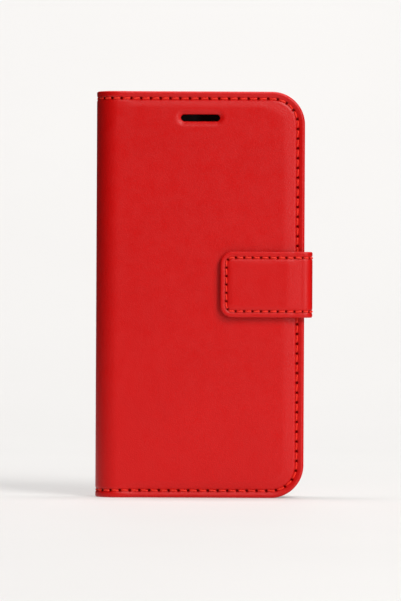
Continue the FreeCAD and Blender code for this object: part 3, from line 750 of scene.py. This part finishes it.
tab_unpitted = strap_face(TAB_FOLD_END, 1.0, -BEYOND, tab_under)
root_unpitted = strap_face(BEYOND, 1.0, -BEYOND, root_under)


def stands_clear(k):
    """The strap's root is stitched only where it stands clear of the cover."""
    return k < ROOT_SEWN or k >= ROOT_STITCHES - ROOT_SEWN


front_thread = thread("front_thread", front_net, FRONT_PATH, cover_unpitted, THREAD_R, seed=3, sunk=FOLD_END)
back_thread = thread("back_thread", back_net, BACK_PATH, cover_unpitted, THREAD_R, seed=5, sunk=FOLD_END)
tab_thread = thread("tab_thread", tab_net, TAB_PATH, tab_unpitted, THREAD_R, seed=7)
root_thread = thread("strap_thread", root_net, ROOT_PATH, root_unpitted, THREAD_R, seed=9, keep=stands_clear)
front_inside = thread("front_seam_inside", front_lining_net, FRONT_PATH, lining_face, INSIDE_R,
                      seed=13, side=-1)
back_inside = thread("back_seam_inside", back_lining_net, BACK_PATH, lining_face, INSIDE_R,
                     seed=15, side=-1)
tab_inside = thread("tab_seam_inside", tab_lining_net, TAB_PATH, tab_lining_face, INSIDE_R,
                    seed=17, side=-1)


# ------------------------------------------------------------------ pockets inside the front cover

class FlatPath:
    """A flat sheet at one depth whose face looks to the back."""

    def __init__(self, f):
        self.f = f

    def at(self, s):
        s = np.asarray(s, float)
        return np.stack([s, np.full(s.shape, self.f)], -1), np.tile([0.0, -1.0], s.shape + (1,))

    point = Path.point


class PocketSeam:
    """The stitches that close the pockets: down one side, along the foot, up the other."""

    def __init__(self, u0, u1, z0, z1, radius, stitches):
        self.u0, self.u1, self.z0, self.z1, self.radius = u0, u1, z0, z1, radius
        self.down = z1 - z0
        self.foot = u1 - u0 - radius
        self.total = 2 * self.down - radius + self.foot + QUARTER * radius
        self.stitches, self.pitch, self.seam = stitches, self.total / stitches, 0.0

    def _place(self, a, shift):
        b = a - self.down
        c = b - self.foot
        e = c - QUARTER * self.radius
        turn = np.clip(c / self.radius, 0, QUARTER)
        bend_u = self.u1 - self.radius + self.radius * np.sin(turn)
        bend_z = self.z0 + self.radius * (1 - np.cos(turn))
        u = np.where(b < 0, self.u0, np.where(c < 0, self.u0 + b, bend_u))
        z = np.where(b < 0, self.z1 - a, np.where(c < 0, self.z0, bend_z))
        return u, np.where(e > 0, z + e, z) + shift


POCKET_R, NOTCH_REACH, NOTCH_DIP = 7.0, 9.0, 4.0
NOTCH_STEPS, CORNER_STEPS = 24, 12
SOFT_EDGE, SOFT_MID = 0.12, 0.3
POCKET_SEAM, POCKET_SEAM_TOP, POCKET_STITCHES = 1.6, 2.0, 57


def pocket_leaf(name, node, notch):
    """A thin leather leaf with soft edges, and a thumb notch in its mouth."""
    lo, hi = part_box(node)
    u0, u1 = lo.x / MM - X_SPINE, hi.x / MM - X_SPINE
    f0, f1 = Y_BACK - hi.y / MM, Y_BACK - lo.y / MM
    z0, z1 = lo.z / MM, hi.z / MM
    outline = [(u0, z1)]
    if notch:
        r = (NOTCH_REACH ** 2 + NOTCH_DIP ** 2) / (2 * NOTCH_DIP)
        mid, wide = (u0 + u1) / 2, math.asin(NOTCH_REACH / r)
        for k in range(NOTCH_STEPS + 1):
            t = -wide + 2 * wide * k / NOTCH_STEPS
            outline.append((mid + r * math.sin(t), z1 + r - NOTCH_DIP - r * math.cos(t)))
    outline.append((u1, z1))
    for k in range(CORNER_STEPS + 1):
        t = QUARTER * k / CORNER_STEPS
        outline.append((u1 - POCKET_R + POCKET_R * math.cos(t), z0 + POCKET_R - POCKET_R * math.sin(t)))
    outline.append((u0, z0))
    outline.reverse()
    n, soft, mid_soft = len(outline), SOFT_EDGE, SOFT_EDGE * SOFT_MID
    centre = np.mean(outline, axis=0)
    rows = [(f0, soft), (f0 + mid_soft, mid_soft), (f0 + soft, 0.0),
            (f1 - soft, 0.0), (f1 - mid_soft, mid_soft), (f1, soft)]
    points = []
    for f, inset in rows:
        for u, z in outline:
            points.append(to_world(u + np.sign(centre[0] - u) * inset, f, z + np.sign(centre[1] - z) * inset))
    faces = [list(range(n)), list(range(len(rows) * n - 1, (len(rows) - 1) * n - 1, -1))]
    for a in range(0, (len(rows) - 1) * n, n):
        b = a + n
        faces += [[a + i, a + (i + 1) % n, b + (i + 1) % n, b + i] for i in range(n)]
    leaf = mesh_object(name, points, faces, sharp=35)
    for face in leaf.data.polygons:
        face.use_smooth = face.loop_total < n
    return leaf


leaves = [pocket_leaf("money_leaf", "money_pocket", notch=False)]
leaves += [pocket_leaf(f"card_leaf_{k}", f"card_pocket_{k}", notch=True) for k in (1, 2, 3)]
leaf_lo, leaf_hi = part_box("card_pocket_3")
pocket_seam = PocketSeam(leaf_lo.x / MM - X_SPINE + POCKET_SEAM, leaf_hi.x / MM - X_SPINE - POCKET_SEAM,
                         leaf_lo.z / MM + POCKET_SEAM, leaf_hi.z / MM - POCKET_SEAM_TOP,
                         POCKET_R - POCKET_SEAM, POCKET_STITCHES)
pocket_thread = thread("pocket_thread", pocket_seam, FlatPath(Y_BACK - leaf_hi.y / MM),
                       lambda s, z, d, run: np.zeros(s.shape), POCKET_THREAD_R, seed=11, rise=0.3)


# ------------------------------------------------------------------ materials

def material(name):
    """A new node material, with its tree, its shader and the object's own coordinates."""
    mat = bpy.data.materials.new(name)
    mat.use_nodes = True
    tree = mat.node_tree
    shader = next(n for n in tree.nodes if n.type == "BSDF_PRINCIPLED")
    where = tree.nodes.new("ShaderNodeTexCoord").outputs["Object"]
    return mat, tree, shader, where


def noise(tree, where, scale, detail=3.0, rough=0.55):
    node = tree.nodes.new("ShaderNodeTexNoise")
    node.inputs["Scale"].default_value = scale
    node.inputs["Detail"].default_value = detail
    node.inputs["Roughness"].default_value = rough
    tree.links.new(where, node.inputs["Vector"])
    return node.outputs["Fac"]


def spread(tree, value, low, high, start=0.3, end=0.7):
    """Maps value from start..end to low..high."""
    node = tree.nodes.new("ShaderNodeMapRange")
    for key, number in zip(("From Min", "From Max", "To Min", "To Max"), (start, end, low, high)):
        node.inputs[key].default_value = number
    tree.links.new(value, node.inputs["Value"])
    return node.outputs["Result"]


def maths(tree, kind, a, b):
    """One arithmetic step between sockets or numbers."""
    node = tree.nodes.new("ShaderNodeMath")
    node.operation = kind
    for socket, value in zip(node.inputs, (a, b)):
        if isinstance(value, (int, float)):
            socket.default_value = value
        else:
            tree.links.new(value, socket)
    return node.outputs["Value"]


def blend_colour(tree, fac, a, b):
    node = tree.nodes.new("ShaderNodeMix")
    node.data_type = "RGBA"
    tree.links.new(fac, node.inputs["Factor"])
    for key, value in (("A", a), ("B", b)):
        socket = next(i for i in node.inputs if i.name == key and i.type == "RGBA")
        if isinstance(value, tuple):
            socket.default_value = (*value, 1.0)
        else:
            tree.links.new(value, socket)
    return next(o for o in node.outputs if o.type == "RGBA")


def bump(tree, shader, height, distance, strength=1.0):
    node = tree.nodes.new("ShaderNodeBump")
    node.inputs["Strength"].default_value = strength
    node.inputs["Distance"].default_value = distance
    tree.links.new(height, node.inputs["Height"])
    tree.links.new(node.outputs["Normal"], shader.inputs["Normal"])


def attribute(tree, name):
    node = tree.nodes.new("ShaderNodeAttribute")
    node.attribute_name = name
    return node.outputs["Fac"]


CELL_SCALE, WOBBLE_SCALE, WOBBLE = 2300, 900, 0.0004
PORE_SCALE, CLOUD_SCALE, SHINE_SCALE = 5200, 45, 240
CELL_SHARE, PORE_SHARE = -0.8, 0.5
# painted shade in the needle holes: how much of it, how dark the colour goes, and the shine left there
HOLE_SHADE_SHARE, HOLE_SHADE_DARK, HOLE_SHINE = 0.93, 0.10, 0.02


def leather(name, light, dark, rough, grain, specular):
    """Fine pebbled leather: cells about 0.4 mm across, pores, a faint cloudiness in colour and shine, and
    painted shade that darkens the needle holes and takes most of their shine.
    """
    mat, tree, shader, where = material(name)
    cells = tree.nodes.new("ShaderNodeTexVoronoi")
    cells.feature = "SMOOTH_F1"
    cells.inputs["Scale"].default_value = CELL_SCALE
    cells.inputs["Smoothness"].default_value = 0.6
    warp = tree.nodes.new("ShaderNodeVectorMath")
    warp.operation = "MULTIPLY_ADD"
    wobble = tree.nodes.new("ShaderNodeTexNoise")
    wobble.inputs["Scale"].default_value = WOBBLE_SCALE
    tree.links.new(where, wobble.inputs["Vector"])
    tree.links.new(wobble.outputs["Color"], warp.inputs[0])
    warp.inputs[1].default_value = (WOBBLE, WOBBLE, WOBBLE)
    tree.links.new(where, warp.inputs[2])
    tree.links.new(warp.outputs["Vector"], cells.inputs["Vector"])
    pores = noise(tree, where, PORE_SCALE, 2.0)
    height = maths(tree, "ADD", maths(tree, "MULTIPLY", cells.outputs["Distance"], CELL_SHARE),
                   maths(tree, "MULTIPLY", pores, PORE_SHARE))
    bump(tree, shader, height, grain)
    cloud = spread(tree, noise(tree, where, CLOUD_SCALE, 4.0), 0.0, 1.0)
    tone = blend_colour(tree, cloud, light, dark)
    # painted shade: the needle holes are darkened toward near-black and lose most of their shine
    hole_shade = maths(tree, "MULTIPLY", attribute(tree, "hole_shade"), HOLE_SHADE_SHARE)
    deep = tuple(c * HOLE_SHADE_DARK for c in dark)
    tree.links.new(blend_colour(tree, hole_shade, tone, deep), shader.inputs["Base Color"])
    shine = spread(tree, noise(tree, where, SHINE_SCALE, 3.0), rough - 0.05, rough + 0.05)
    tree.links.new(shine, shader.inputs["Roughness"])
    gloss = spread(tree, hole_shade, specular, HOLE_SHINE, 0.0, 0.8)
    tree.links.new(gloss, shader.inputs["Specular IOR Level"])
    return mat


def thread_material():
    """Waxed thread: fine fibres, and a little unevenness in tone and shine."""
    mat, tree, shader, where = material("waxed_thread")
    fibres = noise(tree, where, 6500, 2.0)
    tone = blend_colour(tree, spread(tree, fibres, 0.0, 1.0), (0.90, 0.034, 0.014), (0.72, 0.018, 0.008))
    tree.links.new(tone, shader.inputs["Base Color"])
    tree.links.new(spread(tree, noise(tree, where, 900), 0.45, 0.6), shader.inputs["Roughness"])
    bump(tree, shader, fibres, 0.00004)
    shader.inputs["Specular IOR Level"].default_value = 0.25
    return mat


def moulded(name, light, dark, rough, scale, depth):
    """A moulded or plain surface: a fine even texture, and a little unevenness in tone and shine."""
    mat, tree, shader, where = material(name)
    tone = blend_colour(tree, spread(tree, noise(tree, where, 60, 4.0), 0.0, 1.0), light, dark)
    tree.links.new(tone, shader.inputs["Base Color"])
    shine = spread(tree, noise(tree, where, 300), rough - 0.06, rough + 0.06)
    tree.links.new(shine, shader.inputs["Roughness"])
    bump(tree, shader, noise(tree, where, scale, 3.0), depth)
    return mat


# light and dark tone, roughness, grain height in metres, specular level
OUTER = leather("red_leather", (0.590, 0.0016, 0.0012), (0.566, 0.0012, 0.0009), 0.40, 0.00005, 0.30)
INNER = leather("red_lining_leather", (0.50, 0.0075, 0.0065), (0.46, 0.0065, 0.0058), 0.58, 0.00003, 0.25)
THREAD = thread_material()
# light and dark tone, roughness, texture scale, texture height in metres
TRAY = moulded("black_moulding", (0.012, 0.012, 0.013), (0.008, 0.008, 0.009), 0.42, 3500, 0.00001)
BOARD = moulded("grey_board", (0.11, 0.105, 0.10), (0.08, 0.075, 0.07), 0.85, 1800, 0.00004)
FOAM = moulded("pale_padding", (0.75, 0.74, 0.70), (0.62, 0.61, 0.58), 0.9, 2500, 0.00006)
GLUE = moulded("sheet_adhesive", (0.70, 0.69, 0.62), (0.60, 0.59, 0.53), 0.35, 900, 0.00001)
METAL = moulded("bare_metal", (0.55, 0.55, 0.56), (0.42, 0.42, 0.44), 0.32, 2200, 0.000006)
METAL.node_tree.nodes["Principled BSDF"].inputs["Metallic"].default_value = 1.0


def finish_with(obj, mat):
    """Gives a piece its one material."""
    obj.data.materials.clear()
    obj.data.materials.append(mat)


# ------------------------------------------------------------------ the folds' ends, and what each piece across a fold is made of and stands for

def here(u, f):
    """A point at the case's middle height, at a fold's start or end."""
    return tuple(to_world(u, f, HEIGHT / 2))


FOLDS = {
    "front": ("spine", "front_cover", here(0, DEPTH - SPINE_R), here(SPINE_R, DEPTH)),
    "back": ("back_cover", "spine", here(SPINE_R, 0), here(0, SPINE_R)),
    "tab": ("strap_side", "strap_tab", here(STRAP_U1, SIDE_F1), here(STRAP_U1 - STRAP_FRONT_R, STRAP_F1)),
    "root": ("back_cover", "strap_side", here(STRAP_U1 - STRAP_BACK_R, STRAP_F0), here(STRAP_U1, SIDE_F0)),
}
bending = [
    (front_leather, "front", OUTER, "outer_leather", ("front_skin", "spine_skin")),
    (back_leather, "back", OUTER, "outer_leather", ("back_skin",)),
    (front_inner, "front", INNER, "lining", ("front_lining", "spine_lining")),
    (back_inner, "back", INNER, "lining", ("back_lining",)),
    (tab_leather, "tab", OUTER, "outer_leather", ("strap_tab_skin",)),
    (root_leather, "root", OUTER, "outer_leather", ("strap_side_skin", "strap_anchor")),
    (tab_inner, "tab", INNER, "lining", ("strap_tab_lining",)),
    (root_inner, "root", INNER, "lining", ("strap_side_lining",)),
    (front_thread, "front", THREAD, "thread", ("front_stitches", "spine_stitches")),
    (back_thread, "back", THREAD, "thread", ("back_stitches",)),
    (tab_thread, "tab", THREAD, "thread", ("strap_tab_stitches",)),
    (root_thread, "root", THREAD, "thread", ("strap_side_stitches",)),
    (front_inside, "front", THREAD, "thread", ()),
    (back_inside, "back", THREAD, "thread", ()),
    (tab_inside, "tab", THREAD, "thread", ()),
]
for obj, fold, mat, slot, nodes in bending:
    finish_with(obj, mat)
    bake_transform(obj)
    if nodes:
        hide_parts(*nodes)



leaf_nodes = ("money_pocket", "card_pocket_1", "card_pocket_2", "card_pocket_3")
for leaf, node in zip(leaves, leaf_nodes):
    finish_with(leaf, INNER)
    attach(leaf, "front_cover")
    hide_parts(node)
on_front = [
    (front_padding, FOAM, "padding", "front_foam"),
    (pocket_thread, THREAD, "thread", "pocket_stitches"),
]
for obj, mat, slot, node in on_front:
    finish_with(obj, mat)
    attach(obj, "front_cover")
    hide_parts(node)

carried = [
    (TRAY, ("tray_floor", "tray_wall_left", "tray_wall_right", "tray_wall_foot", "tray_wall_head")),
    (GLUE, ("tray_adhesive",)),
    (FOAM, ("back_foam",)),
    (BOARD, ("back_board", "front_board", "strap_tab_board")),
    (METAL, ("strap_magnet", "catch_plate")),
]
for mat, nodes in carried:
    for node in nodes:
        finish_with(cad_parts[node], mat)

# ------------------------------------------------------------------ stage, light and camera

SWEEP_FRONT, SWEEP_BACK, SWEEP_R, SWEEP_TOP, SWEEP_HALF = -0.62, 0.5, 1.5, 2.6, 0.25
SWEEP_STEPS = 24
profile = [(SWEEP_FRONT, 0.0)]
for k in range(SWEEP_STEPS + 1):
    t = QUARTER * k / SWEEP_STEPS
    profile.append((SWEEP_BACK + SWEEP_R * math.sin(t), SWEEP_R * (1 - math.cos(t))))
profile.append((SWEEP_BACK + SWEEP_R, SWEEP_TOP))
stage_points = [(x, y, z) for y, z in profile for x in (-SWEEP_HALF, SWEEP_HALF)]
stage_faces = [[2 * k, 2 * k + 1, 2 * k + 3, 2 * k + 2] for k in range(len(profile) - 1)]
sweep = mesh_object("sweep", stage_points, stage_faces)


def sweep_material():
    """Matt white paper that glows a little, so that the ground and the background stay near white."""
    mat, tree, shader, where = material("white_sweep")
    cloud = spread(tree, noise(tree, where, 6, 3.0), 0.0, 1.0)
    tone = blend_colour(tree, cloud, (0.500, 0.490, 0.480), (0.490, 0.480, 0.470))
    tree.links.new(tone, shader.inputs["Base Color"])
    shader.inputs["Roughness"].default_value = 0.75
    shader.inputs["Emission Color"].default_value = (1.0, 0.99, 0.98, 1.0)
    shader.inputs["Emission Strength"].default_value = 0.29
    shader.inputs["Specular IOR Level"].default_value = 0.2
    return mat


finish_with(sweep, sweep_material())

TARGET = Vector((0.0, 0.0, HEIGHT / 2 * MM))


def area_light(name, place, size, watts, colour=(1.0, 1.0, 1.0), aim=TARGET):
    """A rectangular light at place, in metres, that faces its aim."""
    data = bpy.data.lights.new(name, "AREA")
    data.shape, data.size, data.size_y = "RECTANGLE", size[0], size[1]
    data.energy, data.color = watts, colour
    obj = bpy.data.objects.new(name, data)
    obj.location = place
    obj.rotation_euler = (Vector(aim) - Vector(place)).to_track_quat("-Z", "Y").to_euler()
    bpy.context.scene.collection.objects.link(obj)


area_light("key", (0.93, -1.20, 1.30), (0.8, 0.8), 26.2, (1.0, 0.985, 0.97))
area_light("strip_right", (0.62, -1.02, 0.16), (0.10, 0.8), 3.4)
area_light("strip_top", (0.12, -1.05, 0.72), (0.8, 0.10), 2.1)
area_light("backdrop", (0.0, 0.2, 2.0), (1.2, 0.6), 45.0, aim=(0.0, 1.9, 0.3))

# The room gives off little light, and looks white to the camera beyond the sweep's edges.
ROOM_LIGHT, ROOM_SEEN = 0.05, 0.93
world = bpy.data.worlds.new("soft_room")
bpy.context.scene.world = world
world.use_nodes = True
room = world.node_tree
room.nodes["Background"].inputs["Color"].default_value = (1.0, 0.99, 0.985, 1.0)
seen = room.nodes.new("ShaderNodeLightPath").outputs["Is Camera Ray"]
strength = spread(room, seen, ROOM_LIGHT, ROOM_SEEN, 0.0, 1.0)
room.links.new(strength, room.nodes["Background"].inputs["Strength"])
bpy.context.scene.view_settings.view_transform = "Standard"

# metres from the case's front, up from the floor and to the right; lens in mm; roll in degrees
CAMERA_AWAY = 1.500
CAMERA_HIGH = 0.0728
CAMERA_SIDE = -0.0013
CAMERA_LENS = 243.6
CAMERA_ROLL = -0.27
SENSOR = 36.0
camera_data = bpy.data.cameras.new("camera")
camera_data.lens, camera_data.sensor_width = CAMERA_LENS, SENSOR
camera = bpy.data.objects.new("camera", camera_data)
camera.location = (CAMERA_SIDE, (Y_BACK - DEPTH) * MM - CAMERA_AWAY, CAMERA_HIGH)
camera.rotation_euler = Euler((QUARTER, math.radians(CAMERA_ROLL), 0.0))
bpy.context.scene.collection.objects.link(camera)
bpy.context.scene.camera = camera
